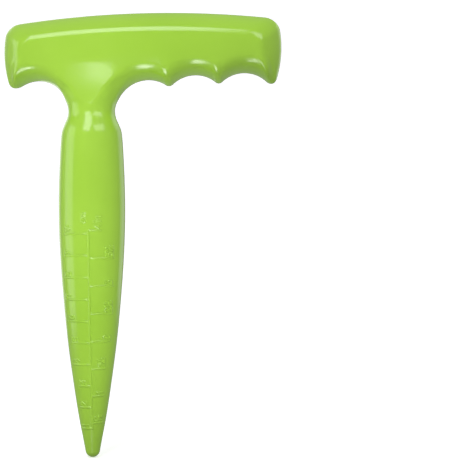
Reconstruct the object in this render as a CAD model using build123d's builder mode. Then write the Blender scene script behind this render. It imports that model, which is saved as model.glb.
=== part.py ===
"""T-handle dibber (bulb planter): two welded half shells with a raised depth scale.

Frame: origin at the tip, +Z up the spike, +X towards the longer side of the handle,
-Y the side that carries the scale.  Millimetres.
"""

from build123d import *
import math
import os

# ---------------------------------------------------------------- driving dimensions
WALL = 2.6  # moulded wall
TIP_SOLID_Z = 18.0  # the spike is solid up to here

# spike, turned about Z
TIP_R = 3.4
TIP_HALF_ANGLE = 10.0
SPIKE_PROFILE = [  # radius, height
    (6.1, 17.2),
    (9.05, 36.0),
    (11.55, 54.7),
    (13.4, 73.4),
    (14.8, 92.1),
    (15.55, 116.0),
    (14.95, 138.9),
    (14.4, 148.3),
    (13.7, 152.9),
    (12.15, 156.7),
    (11.2, 159.3),
]
NECK_R = 10.95
NECK_Z = 161.5
FLARE_R = 10.5  # concave radius from the neck out to the handle's faces
FLARE_REACH_R = 17.0  # the flare shapes the handle out to this radius only

# handle outline, in the parting plane
HANDLE_CENTRE_X = 23.4
HANDLE_LENGTH = 129.6
HANDLE_TOP_Z = 206.75
TOP_ARC_R = 470.0
END_ARC_R = 50.0
END_ARC_Z = 189.5
THUMB_ARC = (-26.0, 161.9, 14.7)  # centre x, centre z, radius
FINGER_ARCS = [(26.2, 160.9, 15.1), (48.2, 163.0, 14.8), (70.9, 163.8, 14.5)]
TOP_CORNER_R = 5.0
END_RIDGE_R = 3.3
MID_RIDGE_R = 2.0
MIN_CORNER_R = 0.6

# handle cross-section: how far its outline draws in at each distance from the parting plane
HALF_DEPTH = 13.8
CROWN = [  # distance, draw-in of the top and ends, draw-in of the thumb and finger grooves
    (0.0, 0.0, 0.0),
    (2.5, 0.4, 0.13),
    (5.0, 1.65, 0.53),
    (8.5, 4.08, 1.57),
    (11.0, 6.34, 2.86),
    (12.5, 7.98, 4.64),
    (13.3, 9.17, 7.33),
    (13.8, 11.35, 10.4),
]
HOLLOW_DRAW_IN = 0.7  # the hollow draws in less than the outside does
MID_WALL_DRAW_IN = 0.85  # and the middle of the wall lies between the two

# inside: stiffening ribs and locating bosses stand on the wall, short of the parting plane
RIB_THICKNESS = 1.6
RIB_GAP = 0.3
SPIKE_RIB_Z = [30.0, 54.0, 78.0, 102.0, 126.0, 150.0]
HANDLE_RIB_X = [-14.0, 13.0, 37.0, 60.0]
BOSS_R = 3.2
BOSS_SPOTS = [  # x, z
    (0.0, 42.0),
    (0.0, 90.0),
    (0.0, 138.0),
    (-27.0, 190.5),
    (0.0, 190.5),
    (25.0, 190.5),
    (48.5, 190.5),
    (72.0, 190.5),
]
PIN_R = 1.5
PIN_LENGTH = 4.0
PIN_CLEARANCE = 0.1

# weld joint: a tongue on the front shell's rim sits in a groove in the rear shell's
TONGUE_INSET = 0.9
TONGUE_WIDTH = 0.8
TONGUE_HEIGHT = 1.2
GROOVE_CLEARANCE = 0.1

# raised depth scale on the front of the spike
SCALE_ZERO_Z = 4.0
SCALE_LINE_X = 0.8
RELIEF = 0.35
RELIEF_ROOT = 0.4  # how far the raised marks run into the wall
MARK_WIDTH = 0.6
CENTIMETRE = 10.0
HALF_INCH = 12.7
CM_REACH = [4.1, 4.8, 4.8, 7.6, 8.2, 9.6, 10.8, 11.0, 11.0, 11.0]  # ticks 1 to 10
INCH_REACH = [5.0, 5.9, 6.9, 9.4, 10.3, 10.7, 11.2, 6.2]  # ticks at each half inch
INCH_LABELS = ["h", "1", "1h", "2", "2h", "3", "3h", "4"]  # h stands for one half
LABEL_HEIGHT = 2.8
LABEL_RISE = 1.0  # from a tick to its number
LABEL_STROKE = 0.45
UNIT_HEIGHT = 3.4
UNIT_SPOTS = [("cm", -2.4, 109.0), ("in", 4.6, 109.6)]  # word, centre x, lowest z
LETTER_GAP = 0.25  # between letters, as a share of their height

# strokes of each character, in shares of the character's height
STROKES = {
    "0": [[(0.0, 0.2), (0.0, 0.8), (0.25, 1.0), (0.5, 0.8), (0.5, 0.2), (0.25, 0.0), (0.0, 0.2)]],
    "1": [[(0.0, 0.75), (0.25, 1.0), (0.25, 0.0)]],
    "2": [[(0.0, 0.8), (0.25, 1.0), (0.5, 0.75), (0.0, 0.0), (0.55, 0.0)]],
    "3": [[(0.0, 1.0), (0.5, 1.0), (0.2, 0.6), (0.5, 0.4), (0.4, 0.05), (0.0, 0.05)]],
    "4": [[(0.4, 0.0), (0.4, 1.0), (0.0, 0.3), (0.55, 0.3)]],
    "5": [[(0.5, 1.0), (0.0, 1.0), (0.0, 0.6), (0.4, 0.6), (0.5, 0.3), (0.35, 0.0), (0.0, 0.0)]],
    "6": [[(0.4, 1.0), (0.0, 0.4), (0.1, 0.0), (0.4, 0.0), (0.5, 0.3), (0.35, 0.55), (0.0, 0.4)]],
    "7": [[(0.0, 1.0), (0.5, 1.0), (0.15, 0.0)]],
    "8": [
        [(0.1, 0.55), (0.05, 1.0), (0.45, 1.0), (0.4, 0.55), (0.1, 0.55)],
        [(0.1, 0.55), (0.0, 0.0), (0.5, 0.0), (0.4, 0.55)],
    ],
    "9": [[(0.1, 0.0), (0.5, 0.6), (0.4, 1.0), (0.1, 1.0), (0.0, 0.7), (0.15, 0.45), (0.5, 0.6)]],
    "h": [
        [(0.0, 1.0), (0.0, 0.55)],
        [(0.1, 0.0), (0.6, 1.0)],
        [(0.5, 0.4), (0.85, 0.4), (0.5, 0.0), (0.85, 0.0)],
    ],
    "c": [[(0.45, 0.6), (0.1, 0.6), (0.0, 0.3), (0.1, 0.0), (0.45, 0.0)]],
    "m": [
        [(0.0, 0.0), (0.0, 0.6), (0.3, 0.6), (0.3, 0.0)],
        [(0.3, 0.6), (0.6, 0.6), (0.6, 0.0)],
    ],
    "i": [[(0.0, 0.0), (0.0, 0.6)], [(0.0, 0.85), (0.0, 0.95)]],
    "n": [[(0.0, 0.0), (0.0, 0.6), (0.4, 0.6), (0.4, 0.0)]],
}

BEYOND = 120.0  # larger than the tool's reach from its axis
TOOL_TOP = 215.0  # above the handle


def turned_profile(inset):
    """Half section of the spike, drawn in by inset, closed on the axis."""
    slope = math.radians(TIP_HALF_ANGLE)
    tip_r = TIP_R - inset
    tip_end = (tip_r * math.cos(slope), TIP_R - tip_r * math.sin(slope))
    bottom = (0, TIP_R - tip_r)
    tip_mid = (tip_r * math.sin(math.radians(45)), TIP_R - tip_r * math.cos(math.radians(45)))
    wall_points = [(r - inset, z) for r, z in SPIKE_PROFILE]
    with BuildSketch(Plane.XZ) as profile:
        with BuildLine():
            ThreePointArc(bottom, tip_mid, tip_end)
            Spline(
                tip_end,
                *wall_points,
                (NECK_R - inset, NECK_Z),
                tangents=[(math.sin(slope), math.cos(slope)), (0, 1)],
            )
            Polyline((NECK_R - inset, NECK_Z), (0, NECK_Z), bottom)
        make_face()
    return profile.sketch


def circles_meet(first, second, near):
    """The crossing of two circles (x, z, r) that lies nearer to the point near."""
    (x1, z1, r1), (x2, z2, r2) = first, second
    gap = math.hypot(x2 - x1, z2 - z1)
    along = (r1**2 - r2**2 + gap**2) / (2 * gap)
    across = math.sqrt(r1**2 - along**2)
    ux, uz = (x2 - x1) / gap, (z2 - z1) / gap
    crossings = [
        (x1 + along * ux - side * across * uz, z1 + along * uz + side * across * ux)
        for side in (-1, 1)
    ]
    return min(crossings, key=lambda point: math.dist(point, near))


def arc_between(circle, start, end):
    """The shorter arc of a circle (x, z, r) from start to end."""
    x, z, r = circle
    dx = (start[0] + end[0]) / 2 - x
    dz = (start[1] + end[1]) / 2 - z
    reach = math.hypot(dx, dz)
    return ThreePointArc(start, (x + r * dx / reach, z + r * dz / reach), end)


def handle_outline(plane, inset, grip_inset):
    """The handle's outline down to the neck, with its grooves drawn in by grip_inset."""
    top = (HANDLE_CENTRE_X, HANDLE_TOP_Z - TOP_ARC_R, TOP_ARC_R - inset)
    half = HANDLE_LENGTH / 2 - END_ARC_R
    left = (HANDLE_CENTRE_X - half, END_ARC_Z, END_ARC_R - inset)
    right = (HANDLE_CENTRE_X + half, END_ARC_Z, END_ARC_R - inset)
    thumb, first, second, third = (
        (x, z, r + grip_inset) for x, z, r in [THUMB_ARC, *FINGER_ARCS]
    )
    neck_left = (thumb[0] + math.sqrt(thumb[2] ** 2 - (NECK_Z - thumb[1]) ** 2), NECK_Z)
    neck_right = (first[0] - math.sqrt(first[2] ** 2 - (NECK_Z - first[1]) ** 2), NECK_Z)
    left_ridge = circles_meet(left, thumb, (-38, 170))
    left_top = circles_meet(left, top, (-40, 200))
    right_top = circles_meet(right, top, (87, 200))
    right_ridge = circles_meet(right, third, (85, 170))
    outer_ridge = circles_meet(third, second, (60, 172))
    inner_ridge = circles_meet(second, first, (37, 172))
    corners = [
        (left_ridge, END_RIDGE_R),
        (left_top, TOP_CORNER_R),
        (right_top, TOP_CORNER_R),
        (right_ridge, END_RIDGE_R),
        (outer_ridge, MID_RIDGE_R),
        (inner_ridge, MID_RIDGE_R),
    ]
    with BuildSketch(plane) as outline:
        with BuildLine():
            arc_between(thumb, neck_left, left_ridge)
            arc_between(left, left_ridge, left_top)
            arc_between(top, left_top, right_top)
            arc_between(right, right_top, right_ridge)
            arc_between(third, right_ridge, outer_ridge)
            arc_between(second, outer_ridge, inner_ridge)
            arc_between(first, inner_ridge, neck_right)
            Line(neck_right, neck_left)
        make_face()
        for corner, radius in corners:
            vertex = outline.vertices().sort_by_distance((*corner, 0))[0]
            fillet(vertex, max(radius - inset, MIN_CORNER_R))
    return outline.sketch


def flare_profile(inset):
    """Half section of the space that the neck's flare leaves to the handle."""
    neck = NECK_R - inset
    flare = FLARE_R + inset
    drop = NECK_R + FLARE_R - FLARE_REACH_R
    reach = (FLARE_REACH_R, NECK_Z + math.sqrt(flare**2 - drop**2))
    with BuildSketch(Plane.XZ) as profile:
        with BuildLine():
            arc_between((NECK_R + FLARE_R, NECK_Z, flare), (neck, NECK_Z), reach)
            Polyline(
                reach,
                (reach[0] + FLARE_R, NECK_Z + FLARE_R / 4),
                (BEYOND, NECK_Z + FLARE_R / 4),
                (BEYOND, TOOL_TOP),
                (0, TOOL_TOP),
                (0, NECK_Z),
                (neck, NECK_Z),
            )
        make_face()
    return profile.sketch


def front_half(inset, draw_in=1.0):
    """The tool's solid form in front of the parting plane, drawn in by inset."""
    depth_share = (HALF_DEPTH - inset) / HALF_DEPTH
    sections = [
        handle_outline(
            Plane.XZ.offset(y * depth_share),
            inset + draw_in * back,
            inset + draw_in * grip,
        )
        for y, back, grip in CROWN
    ]
    with BuildPart() as limit:
        add(flare_profile(inset))
        revolve(axis=Axis.Z)
    with BuildPart() as spike:
        add(turned_profile(inset))
        revolve(axis=Axis.Z)
        split(bisect_by=Plane.XZ, keep=Keep.TOP)
    with BuildPart() as form:
        loft(sections)
        add(limit.part, mode=Mode.INTERSECT)
        add(spike.part)
    return form.part


def parting_face(form):
    """The flat face of a half form, on the parting plane."""
    return form.faces().filter_by(Plane.XZ).group_by(Axis.Y)[-1]


def front_inside(trim):
    """Ribs and bosses behind the front wall, trimmed to run into it."""
    with BuildPart() as inside:
        for z in SPIKE_RIB_Z:
            with Locations((0, -HALF_DEPTH - RIB_GAP, z)):
                Box(2 * HALF_DEPTH, 2 * HALF_DEPTH, RIB_THICKNESS)
        for x in HANDLE_RIB_X:
            with Locations((x, -HALF_DEPTH - RIB_GAP, END_ARC_Z)):
                Box(RIB_THICKNESS, 2 * HALF_DEPTH, 2 * HALF_DEPTH + 2 * WALL)
        with BuildSketch(Plane.XZ):
            with Locations(*BOSS_SPOTS):
                Circle(BOSS_R)
        extrude(amount=2 * HALF_DEPTH)
        add(trim, mode=Mode.INTERSECT)
    return inside.part


def draw_label(text, x, low_z, height):
    """Characters as strokes, reading upwards, centred on x, in the sketch that is open."""
    start = low_z
    for character in text:
        lines = STROKES[character]
        for line in lines:
            points = [(x + height * (0.5 - v), start + height * u) for u, v in line]
            for (x1, z1), (x2, z2) in zip(points, points[1:]):
                length = math.hypot(x2 - x1, z2 - z1)
                with Locations(((x1 + x2) / 2, (z1 + z2) / 2)):
                    Rectangle(
                        length + LABEL_STROKE,
                        LABEL_STROKE,
                        rotation=math.degrees(math.atan2(z2 - z1, x2 - x1)),
                    )
        width = max(u for line in lines for u, v in line)
        start += height * (width + LETTER_GAP)


def scale_sketch():
    """The depth scale as seen from the front: centimetres left, half inches right."""
    sides = [
        (-1, CENTIMETRE, CM_REACH, [str(n + 1) for n in range(len(CM_REACH))]),
        (1, HALF_INCH, INCH_REACH, INCH_LABELS),
    ]
    top_z = SCALE_ZERO_Z + len(INCH_REACH) * HALF_INCH
    low_z = SCALE_ZERO_Z + CENTIMETRE
    with BuildSketch(Plane.XZ) as scale:
        with Locations((SCALE_LINE_X, (top_z + low_z) / 2)):
            Rectangle(MARK_WIDTH, top_z - low_z + MARK_WIDTH)
        for side, step, reaches, labels in sides:
            for count, (reach, label) in enumerate(zip(reaches, labels), start=1):
                z = SCALE_ZERO_Z + count * step
                with Locations(((SCALE_LINE_X + side * reach) / 2, z)):
                    Rectangle(abs(side * reach - SCALE_LINE_X), MARK_WIDTH)
                draw_label(label, side * (reach - LABEL_HEIGHT / 2), z + LABEL_RISE, LABEL_HEIGHT)
        for word, x, z in UNIT_SPOTS:
            draw_label(word, x, z, UNIT_HEIGHT)
    return scale.sketch


def rim_ring(outer_inset, inner_inset, height):
    """A ring along the rim of the shells, standing on the parting plane towards +Y."""
    outer = parting_face(front_half(outer_inset, HOLLOW_DRAW_IN))
    inner = parting_face(front_half(inner_inset, HOLLOW_DRAW_IN))
    with BuildPart() as ring:
        extrude(to_extrude=outer, amount=height, dir=(0, 1, 0))
        extrude(to_extrude=inner, amount=height, dir=(0, 1, 0), mode=Mode.SUBTRACT)
    return ring.part


def pins(radius, length):
    """Round pins on the bosses' axes, standing on the parting plane towards +Y."""
    with BuildPart() as row:
        with BuildSketch(Plane.XZ.offset(-length)):
            with Locations(*BOSS_SPOTS):
                Circle(radius)
        extrude(amount=length)
    return row.part


os.makedirs("parts", exist_ok=True)

# ---------------------------------------------------------------- forms both shells share
with BuildPart() as hollow:
    add(front_half(WALL, HOLLOW_DRAW_IN))
    split(bisect_by=Plane.XY.offset(TIP_SOLID_Z), keep=Keep.TOP)

with BuildPart() as half_shell:
    add(front_half(0.0))
    add(hollow.part, mode=Mode.SUBTRACT)
    add(front_inside(front_half(WALL / 2, MID_WALL_DRAW_IN)))

# ---------------------------------------------------------------- raised scale
with BuildPart() as scale_core:
    add(turned_profile(RELIEF_ROOT))
    revolve(axis=Axis.Z)

with BuildPart() as scale:
    add(turned_profile(-RELIEF))
    revolve(axis=Axis.Z)
    split(bisect_by=Plane.XZ, keep=Keep.TOP)
    add(scale_core.part, mode=Mode.SUBTRACT)
    extrude(to_extrude=scale_sketch(), amount=2 * HALF_DEPTH, mode=Mode.INTERSECT)

# ---------------------------------------------------------------- front shell
with BuildPart() as front_shell:
    add(half_shell.part)
    add(scale.part)
    add(rim_ring(TONGUE_INSET, TONGUE_INSET + TONGUE_WIDTH, TONGUE_HEIGHT))
    add(pins(PIN_R, PIN_LENGTH))
front_shell.part.label = "front_shell"
export_step(front_shell.part, "parts/front_shell.step")

# ---------------------------------------------------------------- rear shell
with BuildPart() as rear_shell:
    mirror(half_shell.part, about=Plane.XZ)
    add(
        rim_ring(
            TONGUE_INSET - GROOVE_CLEARANCE,
            TONGUE_INSET + TONGUE_WIDTH + GROOVE_CLEARANCE,
            TONGUE_HEIGHT + GROOVE_CLEARANCE,
        ),
        mode=Mode.SUBTRACT,
    )
    add(pins(PIN_R + PIN_CLEARANCE, PIN_LENGTH + PIN_CLEARANCE), mode=Mode.SUBTRACT)
rear_shell.part.label = "rear_shell"
export_step(rear_shell.part, "parts/rear_shell.step")
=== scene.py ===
"""Looks of the T-handle dibber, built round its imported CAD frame.

Shapes are worked out in millimetres, in the frame's axes, and turned into metres as meshes are made.
"""

import math

import bpy
import numpy as np
from mathutils import Matrix, Vector
from mathutils.geometry import delaunay_2d_cdt


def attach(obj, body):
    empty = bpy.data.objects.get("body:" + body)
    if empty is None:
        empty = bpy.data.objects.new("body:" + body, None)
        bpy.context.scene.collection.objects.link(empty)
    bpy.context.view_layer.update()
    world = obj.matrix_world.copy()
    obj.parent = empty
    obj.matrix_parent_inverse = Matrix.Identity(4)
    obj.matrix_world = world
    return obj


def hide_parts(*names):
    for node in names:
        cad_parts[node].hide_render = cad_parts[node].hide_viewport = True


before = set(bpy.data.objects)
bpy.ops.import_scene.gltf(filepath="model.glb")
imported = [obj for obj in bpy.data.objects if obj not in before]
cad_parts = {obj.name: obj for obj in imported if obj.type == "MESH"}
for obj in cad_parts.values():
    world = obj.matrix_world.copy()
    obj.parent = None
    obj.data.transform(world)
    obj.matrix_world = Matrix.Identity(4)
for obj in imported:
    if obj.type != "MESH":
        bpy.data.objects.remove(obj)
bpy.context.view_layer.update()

MM = 0.001

# ---------------------------------------------------------------- form, in millimetres
WALL = 2.6
TIP_SOLID_Z = 18.0  # solid from the tip up to here

# spike, turned about Z
TIP_R = 3.4
TIP_HALF_ANGLE = math.radians(10.0)
SPIKE_PROFILE = [  # radius, height
    (6.1, 17.2),
    (9.05, 36.0),
    (11.55, 54.7),
    (13.4, 73.4),
    (14.8, 92.1),
    (15.55, 116.0),
    (14.95, 138.9),
    (14.4, 148.3),
    (13.7, 152.9),
    (12.15, 156.7),
    (11.2, 159.3),
]
NECK_R = 10.95
NECK_Z = 161.5
NECK_OVERLAP = 3.0  # the spike runs this far up into the handle

# flare from the neck into the handle, turned about Z
FLARE_R = 10.5
FLARE_REACH_R = 17.0  # no flare beyond this radius
FLARE_SOFTNESS = 5.0  # rounding of its edge, which fades towards the parting plane and the neck
FLARE_FADE_Y = (4.0, 10.0)
FLARE_FADE_RISE = 10.0
FLARE_FADE_LEAST = 0.02

# handle outline in the parting plane, its circles as centre x, centre z, radius
HANDLE_TOP = (23.4, -263.25, 470.0)
END_ARC_X = (8.6, 38.2)
END_ARC_Z = 189.5
END_ARC_R = 50.0
THUMB = (-26.0, 161.9, 14.7)
FINGERS = [(26.2, 160.9, 15.1), (48.2, 163.0, 14.8), (70.9, 163.8, 14.5)]
TOP_CORNER_R = 5.2
END_RIDGE_R = 4.6
MID_RIDGE_R = 2.2

# handle cross-section from the parting plane to the face: each arc's radius and the slope it
# ends on; the first radius follows from the depth
HALF_DEPTH = 13.5
BACK_SECTION = [(None, 62.0), (30.0, 40.0), (5.0, 0.0)]  # top and ends
GRIP_SECTION = [(None, 71.0), (6.5, 12.0), (44.0, 0.0)]  # thumb and finger grooves
SECTION_BLEND = 7.0  # difference between the two insets over which one section becomes the other

# the faces lean in towards the neck
LEAN = math.radians(10.0)
LEAN_Z = 178.0  # straight from here up, curved from here down to the neck
LEAN_SOFTNESS = 0.5

# weld line round the tool where the shells meet
SEAM_HALF_WIDTH = 0.28
SEAM_DEPTH = 0.09

# mesh grid, which reaches past the tool on every side
SKIN_STEP = 0.75  # spacing outside
HOLLOW_STEP = 1.3  # spacing inside
SKIN_ROUNDS, HOLLOW_ROUNDS = 6, 4
GRID_X = (-44.0, 91.0)
GRID_Z = (-2.0, 209.0)
GRID_Y_MARGIN = 3.0
SEAM_LINES = (0.5, 1.5, 3.0)  # grid lines beside the parting plane, in seam half widths
MERGE_DISTANCE = 1e-6

# raised depth scale on the front of the spike
SCALE_ZERO_Z = 4.0
SCALE_LINE_X = 0.8
RELIEF = 0.28
BEAD_HALF_WIDTH = 0.55  # of a tick's rounded top, at the spike's surface
MARK_WIDTH = 0.6
MARK_SKIRT = 0.6  # each mark's mesh runs this far past its stroke, below the spike's surface
MARK_ROOT = 0.7  # depth of the marks' underside in the wall
CENTIMETRE = 10.0
HALF_INCH = 12.7
# how far each tick reaches from the middle, from the tip upwards
CM_REACH = [4.1, 4.8, 4.8, 7.6, 8.2, 9.6, 10.8, 11.0, 11.0, 11.0]
INCH_REACH = [5.0, 5.9, 6.9, 9.4, 10.3, 10.7, 11.2, 6.2]
INCH_LABELS = ["h", "1", "1h", "2", "2h", "3", "3h", "4"]  # h stands for one half
LABEL_HEIGHT = 2.8
LABEL_RISE = 1.0
LABEL_STROKE = 0.45
UNIT_HEIGHT = 3.4
UNIT_SPOTS = [("cm", -2.4, 109.0), ("in", 4.6, 109.6)]
LETTER_GAP = 0.25
MARK_STEP = 0.15  # mesh spacing of the marks
MARKS_X = (-13.0, 13.0)
MARKS_Z = (11.0, 116.0)
MARK_SHARP = math.radians(50)

# strokes of each character, in shares of the character's height
STROKES = {
    "0": [[(0.0, 0.2), (0.0, 0.8), (0.25, 1.0), (0.5, 0.8), (0.5, 0.2), (0.25, 0.0), (0.0, 0.2)]],
    "1": [[(0.0, 0.75), (0.25, 1.0), (0.25, 0.0)]],
    "2": [[(0.0, 0.8), (0.25, 1.0), (0.5, 0.75), (0.0, 0.0), (0.55, 0.0)]],
    "3": [[(0.0, 1.0), (0.5, 1.0), (0.2, 0.6), (0.5, 0.4), (0.4, 0.05), (0.0, 0.05)]],
    "4": [[(0.4, 0.0), (0.4, 1.0), (0.0, 0.3), (0.55, 0.3)]],
    "5": [[(0.5, 1.0), (0.0, 1.0), (0.0, 0.6), (0.4, 0.6), (0.5, 0.3), (0.35, 0.0), (0.0, 0.0)]],
    "6": [[(0.4, 1.0), (0.0, 0.4), (0.1, 0.0), (0.4, 0.0), (0.5, 0.3), (0.35, 0.55), (0.0, 0.4)]],
    "7": [[(0.0, 1.0), (0.5, 1.0), (0.15, 0.0)]],
    "8": [
        [(0.1, 0.55), (0.05, 1.0), (0.45, 1.0), (0.4, 0.55), (0.1, 0.55)],
        [(0.1, 0.55), (0.0, 0.0), (0.5, 0.0), (0.4, 0.55)],
    ],
    "9": [[(0.1, 0.0), (0.5, 0.6), (0.4, 1.0), (0.1, 1.0), (0.0, 0.7), (0.15, 0.45), (0.5, 0.6)]],
    "h": [
        [(0.0, 1.0), (0.0, 0.55)],
        [(0.1, 0.0), (0.6, 1.0)],
        [(0.5, 0.4), (0.85, 0.4), (0.5, 0.0), (0.85, 0.0)],
    ],
    "c": [[(0.45, 0.6), (0.1, 0.6), (0.0, 0.3), (0.1, 0.0), (0.45, 0.0)]],
    "m": [
        [(0.0, 0.0), (0.0, 0.6), (0.3, 0.6), (0.3, 0.0)],
        [(0.3, 0.6), (0.6, 0.6), (0.6, 0.0)],
    ],
    "i": [[(0.0, 0.0), (0.0, 0.6)], [(0.0, 0.85), (0.0, 0.95)]],
    "n": [[(0.0, 0.0), (0.0, 0.6), (0.4, 0.6), (0.4, 0.0)]],
}


def smooth_min(a, b, radius):
    """min(a, b) with its crease rounded to about radius."""
    gap = np.minimum(np.abs(a - b), radius)
    rounded = (a + b) / 2 - radius + np.sqrt(np.maximum(radius**2 / 2 - (gap / 2) ** 2, 0))
    return np.where(np.abs(a - b) < radius, rounded, np.minimum(a, b))


def smooth_max(a, b, radius):
    """max(a, b) with its crease rounded to about radius."""
    return -smooth_min(-a, -b, radius)


def spline_slopes(knots, values, first, last):
    """Slopes of the clamped cubic spline through the values at the knots."""
    count = len(knots)
    step = np.diff(knots)
    matrix = np.zeros((count, count))
    right = np.zeros(count)
    matrix[0, 0] = matrix[-1, -1] = 1.0
    right[0], right[-1] = first, last
    for k in range(1, count - 1):
        matrix[k, k - 1] = 1 / step[k - 1]
        matrix[k, k] = 2 * (1 / step[k - 1] + 1 / step[k])
        matrix[k, k + 1] = 1 / step[k]
        rise = (values[k] - values[k - 1]) / step[k - 1] ** 2
        right[k] = 3 * (rise + (values[k + 1] - values[k]) / step[k] ** 2)
    return np.linalg.solve(matrix, right)


TIP_EDGE_Z = TIP_R * (1 - math.sin(TIP_HALF_ANGLE))
PROFILE_Z = np.array([TIP_EDGE_Z, *[z for r, z in SPIKE_PROFILE], NECK_Z])
PROFILE_R = np.array([TIP_R * math.cos(TIP_HALF_ANGLE), *[r for r, z in SPIKE_PROFILE], NECK_R])
PROFILE_SLOPE = spline_slopes(PROFILE_Z, PROFILE_R, math.tan(TIP_HALF_ANGLE), 0.0)


def spike_radius(z):
    """Radius and slope of the spike at height z, from the tip's ball up to the neck."""
    z = np.clip(z, TIP_EDGE_Z, NECK_Z)
    k = np.clip(np.searchsorted(PROFILE_Z, z, side="right") - 1, 0, len(PROFILE_Z) - 2)
    step = PROFILE_Z[k + 1] - PROFILE_Z[k]
    u = (z - PROFILE_Z[k]) / step
    r0, r1 = PROFILE_R[k], PROFILE_R[k + 1]
    m0, m1 = PROFILE_SLOPE[k] * step, PROFILE_SLOPE[k + 1] * step
    radius = (
        r0 * (2 * u**3 - 3 * u**2 + 1)
        + m0 * (u**3 - 2 * u**2 + u)
        + r1 * (3 * u**2 - 2 * u**3)
        + m1 * (u**3 - u**2)
    )
    slope = (
        r0 * (6 * u**2 - 6 * u)
        + m0 * (3 * u**2 - 4 * u + 1)
        + r1 * (6 * u - 6 * u**2)
        + m1 * (3 * u**2 - 2 * u)
    ) / step
    return radius, slope


def spike_field(r, z):
    """Distance outside the spike, negative inside it."""
    radius, slope = spike_radius(z)
    side = np.maximum((r - radius) / np.sqrt(1 + slope**2), z - NECK_Z - NECK_OVERLAP)
    ball = np.hypot(r, z - TIP_R) - TIP_R
    return np.where(z < TIP_EDGE_Z, ball, side)


def handle_insets(x, z):
    """How far a point lies inside the handle's back and inside its grip side."""

    def within(circle):
        return circle[2] - np.hypot(x - circle[0], z - circle[1])

    back = within(HANDLE_TOP)
    for overhang in (END_ARC_X[0] - x, x - END_ARC_X[1]):
        end = END_ARC_R - np.hypot(np.maximum(overhang, 0), z - END_ARC_Z)
        back = smooth_min(back, end, TOP_CORNER_R)
    grip = -within(FINGERS[0])
    for groove in FINGERS[1:]:
        grip = smooth_min(grip, -within(groove), MID_RIDGE_R)
    return back, smooth_min(grip, -within(THUMB), END_RIDGE_R)


def section_field(section, inset, depth):
    """Distance outside a section of arcs that ends on a flat face."""
    slopes = [math.radians(slope) for radius, slope in section]
    radii = [radius for radius, slope in section]
    rest = sum(
        r * (math.cos(after) - math.cos(before))
        for r, before, after in zip(radii[1:], slopes, slopes[1:])
    )
    radii[0] = (HALF_DEPTH - rest) / math.cos(slopes[0])
    t, y = radii[0], 0.0
    distance = np.hypot(inset - t, depth - y) - radii[0]
    for slope, old, new in zip(slopes, radii, radii[1:]):
        t += (new - old) * math.sin(slope)
        y -= (new - old) * math.cos(slope)
        past = (t - inset) * math.cos(slope) < (depth - y) * math.sin(slope)
        distance = np.where(past, np.hypot(inset - t, depth - y) - new, distance)
    return np.where(inset >= t, depth - HALF_DEPTH, distance)


def handle_field(x, y, z):
    """Distance outside the handle's crowned body."""
    back, grip = handle_insets(x, z)
    inset = smooth_min(back, grip, END_RIDGE_R)
    depth = np.abs(y)
    share = np.clip((grip - back) / SECTION_BLEND + 0.5, 0, 1)
    share = share * share * (3 - 2 * share)
    at_back = section_field(BACK_SECTION, inset, depth)
    at_grip = section_field(GRIP_SECTION, inset, depth)
    return at_grip + share * (at_back - at_grip)


def flare_field(r, z):
    """Distance into the space that the neck's flare takes from the handle."""
    flare = FLARE_R - np.hypot(r - NECK_R - FLARE_R, z - NECK_Z)
    return np.where(z < NECK_Z, r - NECK_R, np.minimum(flare, FLARE_REACH_R - r))


def lean_field(y, z):
    """Distance in front of the leaning faces between the neck and the handle."""
    bend_r = (LEAN_Z - NECK_Z) / math.sin(LEAN)
    rise = np.clip(z - NECK_Z, 0, LEAN_Z - NECK_Z)
    limit = NECK_R + bend_r - np.sqrt(bend_r**2 - rise**2)
    limit = limit + math.tan(LEAN) * np.maximum(z - LEAN_Z, 0)
    return np.abs(y) - limit


def tool_field(x, y, z):
    """Distance outside the whole tool, negative inside it."""
    r = np.hypot(x, y)
    start, full = FLARE_FADE_Y
    softness = FLARE_SOFTNESS * np.clip((np.abs(y) - start) / (full - start), FLARE_FADE_LEAST, 1)
    softness = softness * np.clip((z - NECK_Z) / FLARE_FADE_RISE, FLARE_FADE_LEAST, 1)
    handle = smooth_max(handle_field(x, y, z), flare_field(r, z), softness)
    handle = smooth_max(handle, lean_field(y, z), LEAN_SOFTNESS)
    return np.minimum(spike_field(r, z), handle)


def hollow_field(x, y, z):
    """Distance outside the hollow within the walls."""
    return np.maximum(tool_field(x, y, z) + WALL, TIP_SOLID_Z - z)


def gradient(field, points):
    """The field's slope at each point, by central differences."""
    nudge = 0.02
    slopes = []
    for axis in range(3):
        ahead, behind = points.copy(), points.copy()
        ahead[:, axis] += nudge
        behind[:, axis] -= nudge
        slopes.append((field(*ahead.T) - field(*behind.T)) / (2 * nudge))
    return np.stack(slopes, 1)


def settle(field, points, rounds=4):
    """Moves points onto the field's surface."""
    least = 0.2  # keeps the moves short where the field is nearly level
    for _ in range(rounds):
        slope = gradient(field, points)
        steepness = np.maximum((slope**2).sum(1), least)
        points = points - slope * (field(*points.T) / steepness)[:, None]
    return points


def spread(low, high, step):
    """Even values from low to high, about one step apart."""
    return np.linspace(low, high, int(round((high - low) / step)) + 1)


def grid_lines(step):
    """Grid lines along x, y and z. Those along y close in on the parting plane."""
    near = SEAM_HALF_WIDTH * np.array(SEAM_LINES)
    far = spread(near[-1], HALF_DEPTH + GRID_Y_MARGIN, step)[1:]
    half = np.concatenate([near, far])
    return spread(*GRID_X, step), np.concatenate([-half[::-1], half]), spread(*GRID_Z, step)


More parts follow.
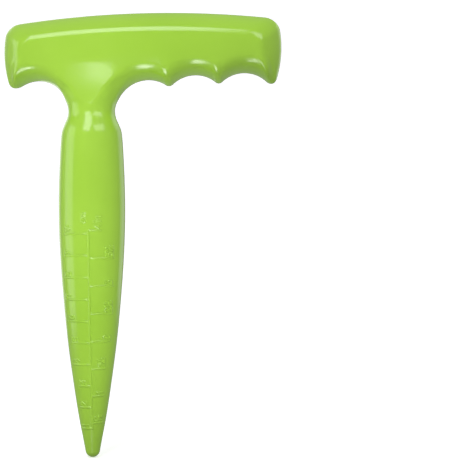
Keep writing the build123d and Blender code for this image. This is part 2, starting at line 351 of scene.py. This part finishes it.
def net_surface(field, lines):
    """Points and outward quads of the surface where the field is zero, one point per grid cell."""
    xs, ys, zs = lines
    values = field(xs[:, None, None], ys[None, :, None], zs[None, None, :])
    inside = values < 0
    shape = tuple(n - 1 for n in values.shape)
    corner_ids = [(a, b, c) for a in (0, 1) for b in (0, 1) for c in (0, 1)]

    def corner(array, offset):
        a, b, c = offset
        return array[a : a + shape[0], b : b + shape[1], c : c + shape[2]]

    count = sum(corner(inside, c).astype(np.int8) for c in corner_ids)
    cells = np.argwhere((count > 0) & (count < 8))
    index = -np.ones(shape, np.int64)
    index[tuple(cells.T)] = np.arange(len(cells))
    total = np.zeros((len(cells), 3))
    hits = np.zeros(len(cells))
    for start in corner_ids:
        for axis in range(3):
            if start[axis]:
                continue
            end = tuple(v + (k == axis) for k, v in enumerate(start))
            low, high = cells + start, cells + end
            v0, v1 = values[tuple(low.T)], values[tuple(high.T)]
            crossing = (v0 < 0) != (v1 < 0)
            share = np.where(crossing, v0 / np.where(crossing, v0 - v1, 1), 0)[:, None]
            p0 = np.stack([xs[low[:, 0]], ys[low[:, 1]], zs[low[:, 2]]], 1)
            p1 = np.stack([xs[high[:, 0]], ys[high[:, 1]], zs[high[:, 2]]], 1)
            total += np.where(crossing[:, None], p0 + share * (p1 - p0), 0)
            hits += crossing
    points = total / hits[:, None]
    quads = []
    for axis in range(3):
        u, v = (axis + 1) % 3, (axis + 2) % 3
        ahead = [slice(None)] * 3
        ahead[axis] = slice(1, None)
        behind = [slice(None)] * 3
        behind[axis] = slice(None, -1)
        leaving = inside[tuple(behind)] & ~inside[tuple(ahead)]
        entering = ~inside[tuple(behind)] & inside[tuple(ahead)]
        for crossing, order in ((leaving, (0, 1, 2, 3)), (entering, (3, 2, 1, 0))):
            edges = np.argwhere(crossing)
            ring = []
            for du, dv in ((-1, -1), (0, -1), (0, 0), (-1, 0)):
                cell = edges.copy()
                cell[:, u] += du
                cell[:, v] += dv
                ring.append(index[tuple(cell.T)])
            quads.append(np.stack([ring[k] for k in order], 1))
    return points, np.concatenate(quads), cells[:, 1]


def even_out(field, points, quads, middle, rounds):
    """Moves the points in x and z towards their neighbours' mean, and back onto the surface."""
    ends = np.concatenate([quads[:, [k, (k + 1) % 4]] for k in range(4)])
    ends = np.concatenate([ends, ends[:, ::-1]])
    number = np.bincount(ends[:, 0], minlength=len(points))[:, None]
    for _ in range(rounds):
        mean = np.stack(
            [np.bincount(ends[:, 0], points[ends[:, 1], k], len(points)) for k in range(3)], 1
        )
        shift = mean / number - points
        shift[:, 1] = 0
        points = points + shift / 2
        points[middle, 1] = 0
        points = settle(field, points, 1)
        points[middle, 1] = 0
    return points


def skin(field, step, rounds):
    """The field's surface as points, quads, and each point's layer from the parting plane."""
    lines = grid_lines(step)
    points, quads, layer = net_surface(field, lines)
    layer = layer - (len(lines[1]) - 2) // 2
    middle = layer == 0
    points[middle, 1] = 0
    points = settle(field, points)
    points = even_out(field, points, quads, middle, rounds)
    return settle(field, points), quads, layer


def compact(quads):
    """Quads renumbered to the points they use, and those points."""
    used = np.unique(quads)
    return np.searchsorted(used, quads), used


def boundary_edges(quads, on_plane):
    """Edges that one quad has to itself and that lie on the parting plane."""
    edges = np.concatenate([quads[:, [k, (k + 1) % 4]] for k in range(4)])
    return edges[on_plane[edges].all(1)]


def triangle_area(a, b, c):
    """Area of a flat triangle."""
    return abs((b - a).cross(c - a)) / 2


def regions(triangles, borders, source):
    """Triangles in groups that no border edge crosses."""
    fixed = {frozenset(e) for e in borders}
    beside = {}
    for number, triangle in enumerate(triangles):
        for k in range(3):
            edge = frozenset((source[triangle[k]][0], source[triangle[k - 1]][0]))
            if edge not in fixed:
                beside.setdefault(edge, []).append(number)
    neighbours = [[] for _ in triangles]
    for pair in beside.values():
        for number in pair:
            neighbours[number] += [other for other in pair if other != number]
    seen = set()
    groups = []
    for first in range(len(triangles)):
        if first in seen:
            continue
        seen.add(first)
        group, waiting = [], [first]
        while waiting:
            number = waiting.pop()
            group.append(triangles[number])
            fresh = [n for n in neighbours[number] if n not in seen]
            seen.update(fresh)
            waiting += fresh
        groups.append(group)
    return groups


def add_object(name, points, faces):
    """A smooth mesh object in the scene."""
    mesh = bpy.data.meshes.new(name)
    mesh.from_pydata(points, [], faces)
    mesh.polygons.foreach_set("use_smooth", [True] * len(faces))
    obj = bpy.data.objects.new(name, mesh)
    bpy.context.scene.collection.objects.link(obj)
    return obj


def shell_mesh(name, side, outer, inner):
    """A closed half shell: side is -1 for the front one and 1 for the rear one."""
    points, faces, normals, loops = [], [], [], []
    offset = 0
    for made_skin, field in ((outer, tool_field), (inner, hollow_field)):
        skin_points, quads, layer = made_skin
        mine = (layer[quads] * side >= 0).all(1)
        numbered, used = compact(quads[mine])
        own = skin_points[used].copy()
        slope = gradient(field, own)
        slope /= np.linalg.norm(slope, axis=1)[:, None]
        rim = layer[used] == 0
        own[rim, 1] = 0
        edges = boundary_edges(numbered, rim)
        if field is tool_field:
            own[rim] -= slope[rim] * SEAM_DEPTH
            slope[rim, 1] -= side * SEAM_DEPTH / SEAM_HALF_WIDTH
        else:
            numbered = numbered[:, ::-1]
            slope = -slope
        loops.append(edges + offset)
        points.append(own)
        normals.append(slope)
        faces += (numbered + offset).tolist()
        offset += len(own)
    points, normals = np.concatenate(points), np.concatenate(normals)
    skin_faces = len(faces)

    edges = np.concatenate(loops)
    rim_ids, flat = np.unique(edges, return_inverse=True)
    spots = [Vector(points[k, [0, 2]]) for k in rim_ids]
    flat_edges = [tuple(e) for e in flat.reshape(edges.shape).tolist()]
    made, _, triangles, source, _, _ = delaunay_2d_cdt(spots, flat_edges, [], 0, MERGE_DISTANCE, True)
    for region in regions(triangles, flat_edges, source):
        largest = max(region, key=lambda t: triangle_area(*(made[k] for k in t)))
        middle = sum((made[k] for k in largest), Vector((0, 0))) / 3
        if tool_field(middle[0], 0.0, middle[1]) > 0 or hollow_field(middle[0], 0.0, middle[1]) < 0:
            continue
        for triangle in region:
            ring = [int(rim_ids[source[k][0]]) for k in triangle]
            a, b, c = (points[k] for k in ring)
            if np.cross(b - a, c - a)[1] * side > 0:
                ring.reverse()
            faces.append(ring)

    obj = add_object(name, (points * MM).tolist(), faces)
    rim_normal = (0.0, -float(side), 0.0)
    loop_normals = []
    for polygon in obj.data.polygons:
        for k in polygon.vertices:
            loop_normals.append(tuple(normals[k]) if polygon.index < skin_faces else rim_normal)
    obj.data.normals_split_custom_set(loop_normals)
    obj.data.validate()
    return obj


def label_strokes(text, x, low_z, height):
    """Segments (x1, z1, x2, z2) of characters that read upwards, centred on x."""
    segments = []
    start = low_z
    for character in text:
        lines = STROKES[character]
        for line in lines:
            spots = [(x + height * (0.5 - v), start + height * u) for u, v in line]
            segments += [(*p, *q) for p, q in zip(spots, spots[1:])]
        start += height * (max(u for line in lines for u, v in line) + LETTER_GAP)
    return segments


def scale_strokes():
    """Every stroke of the scale: (segment, width)."""
    sides = [
        (-1, CENTIMETRE, CM_REACH, [str(n + 1) for n in range(len(CM_REACH))]),
        (1, HALF_INCH, INCH_REACH, INCH_LABELS),
    ]
    top_z = SCALE_ZERO_Z + len(INCH_REACH) * HALF_INCH
    strokes = [((SCALE_LINE_X, SCALE_ZERO_Z + CENTIMETRE, SCALE_LINE_X, top_z), MARK_WIDTH)]
    for side, step, reaches, labels in sides:
        for count, (reach, label) in enumerate(zip(reaches, labels), start=1):
            z = SCALE_ZERO_Z + count * step
            strokes.append(((SCALE_LINE_X, z, side * reach, z), MARK_WIDTH))
            x = side * (reach - LABEL_HEIGHT / 2)
            strokes += [
                (s, LABEL_STROKE) for s in label_strokes(label, x, z + LABEL_RISE, LABEL_HEIGHT)
            ]
    for word, x, z in UNIT_SPOTS:
        strokes += [(s, LABEL_STROKE) for s in label_strokes(word, x, z, UNIT_HEIGHT)]
    return strokes


def marks_mesh(name):
    """The raised scale as one closed relief that follows the spike and sinks into it."""
    xs = spread(*MARKS_X, MARK_STEP)
    zs = spread(*MARKS_Z, MARK_STEP)
    away = np.full((len(xs), len(zs)), np.inf)
    for (x1, z1, x2, z2), width in scale_strokes():
        reach = width / 2 + MARK_SKIRT + MARK_STEP
        i = (xs > min(x1, x2) - reach) & (xs < max(x1, x2) + reach)
        k = (zs > min(z1, z2) - reach) & (zs < max(z1, z2) + reach)
        gx, gz = xs[i][:, None] - x1, zs[k][None, :] - z1
        dx, dz = x2 - x1, z2 - z1
        share = np.clip((gx * dx + gz * dz) / max(dx * dx + dz * dz, 1e-9), 0, 1)
        distance = np.hypot(gx - share * dx, gz - share * dz) - width / 2
        block = np.ix_(i, k)
        away[block] = np.minimum(away[block], distance)
    height = RELIEF * (1 - (np.maximum(away + MARK_WIDTH / 2, 0) / BEAD_HALF_WIDTH) ** 2)
    near = away < MARK_SKIRT
    cells = np.argwhere(near[:-1, :-1] & near[1:, 1:] & near[:-1, 1:] & near[1:, :-1])
    rows = len(zs)
    corners = np.stack(
        [
            cells[:, 0] * rows + cells[:, 1],
            (cells[:, 0] + 1) * rows + cells[:, 1],
            (cells[:, 0] + 1) * rows + cells[:, 1] + 1,
            cells[:, 0] * rows + cells[:, 1] + 1,
        ],
        1,
    )
    edges = np.concatenate([corners[:, [k, (k + 1) % 4]] for k in range(4)])
    keys = {tuple(e) for e in edges.tolist()}
    border = [e for e in keys if (e[1], e[0]) not in keys]
    used = np.unique(corners)
    top = np.searchsorted(used, corners)
    ix, iz = used // rows, used % rows
    x, z = xs[ix], zs[iz]
    radius, _ = spike_radius(z)

    def lifted(lift):
        return np.stack([x, -np.sqrt((radius + lift) ** 2 - x**2), z], 1)

    count = len(used)
    points = np.concatenate([lifted(height[ix, iz]), lifted(-MARK_ROOT)])
    faces = top.tolist()
    faces += (top[:, ::-1] + count).tolist()
    for a, b in sorted(border):
        p, q = int(np.searchsorted(used, a)), int(np.searchsorted(used, b))
        faces.append([q, p, p + count, q + count])
    obj = add_object(name, (points * MM).tolist(), faces)
    obj.data.set_sharp_from_angle(angle=MARK_SHARP)
    return obj


outer_skin = skin(tool_field, SKIN_STEP, SKIN_ROUNDS)
inner_skin = skin(hollow_field, HOLLOW_STEP, HOLLOW_ROUNDS)
front = shell_mesh("front_shell_body", -1, outer_skin, inner_skin)
rear = shell_mesh("rear_shell_body", 1, outer_skin, inner_skin)
marks = marks_mesh("depth_scale")


# ---------------------------------------------------------------- material
def green_plastic():
    """Glossy moulded plastic with a slow colour flow, uneven gloss and a fine orange peel."""
    material = bpy.data.materials.new("green_plastic")
    material.use_nodes = True
    tree = material.node_tree
    tree.nodes.clear()
    link = tree.links.new
    out = tree.nodes.new("ShaderNodeOutputMaterial")
    shader = tree.nodes.new("ShaderNodeBsdfPrincipled")
    link(shader.outputs["BSDF"], out.inputs["Surface"])
    where = tree.nodes.new("ShaderNodeTexCoord")

    flow = tree.nodes.new("ShaderNodeTexNoise")
    flow.inputs["Scale"].default_value = 22.0
    flow.inputs["Detail"].default_value = 3.0
    link(where.outputs["Object"], flow.inputs["Vector"])
    ramp = tree.nodes.new("ShaderNodeValToRGB")
    ramp.color_ramp.elements[0].position = 0.3
    ramp.color_ramp.elements[0].color = (0.325, 0.59, 0.040, 1)
    ramp.color_ramp.elements[1].position = 0.7
    ramp.color_ramp.elements[1].color = (0.36, 0.63, 0.052, 1)
    link(flow.outputs["Fac"], ramp.inputs["Fac"])
    link(ramp.outputs["Color"], shader.inputs["Base Color"])

    smears = tree.nodes.new("ShaderNodeTexNoise")
    smears.inputs["Scale"].default_value = 90.0
    smears.inputs["Detail"].default_value = 4.0
    link(where.outputs["Object"], smears.inputs["Vector"])
    gloss = tree.nodes.new("ShaderNodeMapRange")
    gloss.inputs["From Min"].default_value = 0.3
    gloss.inputs["From Max"].default_value = 0.75
    gloss.inputs["To Min"].default_value = 0.15
    gloss.inputs["To Max"].default_value = 0.21
    link(smears.outputs["Fac"], gloss.inputs["Value"])
    link(gloss.outputs["Result"], shader.inputs["Roughness"])

    peel = tree.nodes.new("ShaderNodeTexNoise")
    peel.inputs["Scale"].default_value = 700.0
    peel.inputs["Detail"].default_value = 2.0
    link(where.outputs["Object"], peel.inputs["Vector"])
    bump = tree.nodes.new("ShaderNodeBump")
    bump.inputs["Strength"].default_value = 0.04
    bump.inputs["Distance"].default_value = 0.0002
    link(peel.outputs["Fac"], bump.inputs["Height"])
    link(bump.outputs["Normal"], shader.inputs["Normal"])

    shader.inputs["IOR"].default_value = 1.55
    return material


plastic = green_plastic()
for piece, node in ((front, "front_shell"), (rear, "rear_shell"), (marks, "front_shell")):
    piece.data.materials.append(plastic)
    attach(piece, "root")
    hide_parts(node)

# ---------------------------------------------------------------- stage, in metres
FLOOR_HALF = 1.6
FLOOR_FRONT = -1.4
FLOOR_BACK = 0.9
FLOOR_DROP = 0.0002  # just under the tip
BACKDROP_TOP = 1.6
BEND_R = 0.35
BEND_STEPS = 24


def sweep():
    """A pale floor that curves up into a backdrop."""
    profile = [(FLOOR_FRONT, 0.0), (FLOOR_BACK - BEND_R, 0.0)]
    for k in range(1, BEND_STEPS + 1):
        a = math.pi / 2 * k / BEND_STEPS
        profile.append((FLOOR_BACK - BEND_R * (1 - math.sin(a)), BEND_R * (1 - math.cos(a))))
    profile.append((FLOOR_BACK, BACKDROP_TOP))
    points = [(x, y, z - FLOOR_DROP) for y, z in profile for x in (-FLOOR_HALF, FLOOR_HALF)]
    faces = [(2 * k, 2 * k + 1, 2 * k + 3, 2 * k + 2) for k in range(len(profile) - 1)]
    obj = add_object("floor", points, faces)
    material = bpy.data.materials.new("pale_paper")
    material.use_nodes = True
    tree = material.node_tree
    shader = tree.nodes["Principled BSDF"]
    shader.inputs["Roughness"].default_value = 0.9
    shader.inputs["Specular IOR Level"].default_value = 0.1
    grain = tree.nodes.new("ShaderNodeTexNoise")
    grain.inputs["Scale"].default_value = 60.0
    tone = tree.nodes.new("ShaderNodeValToRGB")
    tone.color_ramp.elements[0].color = (0.90, 0.90, 0.90, 1)
    tone.color_ramp.elements[1].color = (0.93, 0.93, 0.93, 1)
    tree.links.new(grain.outputs["Fac"], tone.inputs["Fac"])
    tree.links.new(tone.outputs["Color"], shader.inputs["Base Color"])
    shader.inputs["Emission Color"].default_value = (1, 1, 1, 1)
    shader.inputs["Emission Strength"].default_value = 0.42
    obj.data.materials.append(material)
    # its glow stays off the tool
    obj.visible_diffuse = obj.visible_glossy = obj.visible_shadow = False
    return obj


sweep()


# ---------------------------------------------------------------- light
def softbox(name, azimuth, elevation, distance, size, power, aim=(0.02, 0.0, 0.12), spread=180):
    """A rectangular light seen from aim at that azimuth (0 towards -Y, 90 towards +X), in degrees."""
    a, e = math.radians(azimuth), math.radians(elevation)
    toward = Vector((math.sin(a) * math.cos(e), -math.cos(a) * math.cos(e), math.sin(e)))
    lamp = bpy.data.lights.new(name, "AREA")
    lamp.shape = "RECTANGLE"
    lamp.size, lamp.size_y = size
    lamp.energy = power
    lamp.spread = math.radians(spread)
    obj = bpy.data.objects.new(name, lamp)
    obj.location = Vector(aim) + toward * distance
    obj.rotation_mode = "QUATERNION"
    obj.rotation_quaternion = toward.to_track_quat("Z", "Y")
    obj.visible_camera = False
    bpy.context.scene.collection.objects.link(obj)


softbox("pane_left", azimuth=-13, elevation=46, distance=1.2, size=(0.5, 0.9), power=6.7)
softbox("pane_right", azimuth=40, elevation=38, distance=1.2, size=(0.8, 0.5), power=3.8)
softbox(
    "near_front",
    azimuth=-7.6,
    elevation=-10,
    distance=0.2,
    size=(0.020, 0.034),
    power=0.00025,
    aim=(0.0055, -0.012, 0.179),
    spread=24,
)
softbox(
    "low_front",
    azimuth=-8,
    elevation=-56,
    distance=0.207,
    size=(0.060, 0.17),
    power=0.027,
    aim=(0.022, -0.012, 0.176),
    spread=54,
)
softbox(
    "low_thumb",
    azimuth=-12,
    elevation=-56,
    distance=0.2,
    size=(0.05, 0.12),
    power=0.0045,
    aim=(-0.028, -0.012, 0.172),
    spread=26,
)
softbox("fill_left", azimuth=-80, elevation=10, distance=1.4, size=(0.9, 1.3), power=5.6)
softbox("rim_right", azimuth=140, elevation=15, distance=1.4, size=(0.8, 1.2), power=2.4)
softbox("rim_left", azimuth=-150, elevation=15, distance=1.4, size=(0.8, 1.2), power=2.6)

world = bpy.data.worlds.new("studio")
bpy.context.scene.world = world
world.use_nodes = True
backlight = world.node_tree.nodes["Background"]
backlight.inputs["Color"].default_value = (1, 1, 1, 1)
backlight.inputs["Strength"].default_value = 0.36

# ---------------------------------------------------------------- camera
LENS, SENSOR = 82.4385, 36.0  # millimetres, the sensor along the picture's longer side
SHIFT = (0.177897, 0.065730)  # in shares of the picture's longer side
DISTANCE, AROUND, HEIGHT = 0.5, math.radians(8.909), 0.09035
YAW, ROLL = math.radians(6.151), math.radians(-0.184)

camera = bpy.data.cameras.new("camera")
camera.sensor_width = SENSOR
camera.lens = LENS
camera.shift_x, camera.shift_y = SHIFT
camera.clip_start, camera.clip_end = 0.01, 20.0
viewer = bpy.data.objects.new("camera", camera)
bpy.context.scene.collection.objects.link(viewer)
eye = (DISTANCE * math.sin(AROUND), -DISTANCE * math.cos(AROUND), HEIGHT)
level = Matrix.Rotation(math.radians(90), 4, "X")  # from looking down to looking along +Y
turn = Matrix.Rotation(YAW, 4, "Z") @ level @ Matrix.Rotation(ROLL, 4, "Z")
viewer.matrix_world = Matrix.Translation(eye) @ turn
bpy.context.scene.camera = viewer

bpy.context.scene.view_settings.view_transform = "Standard"
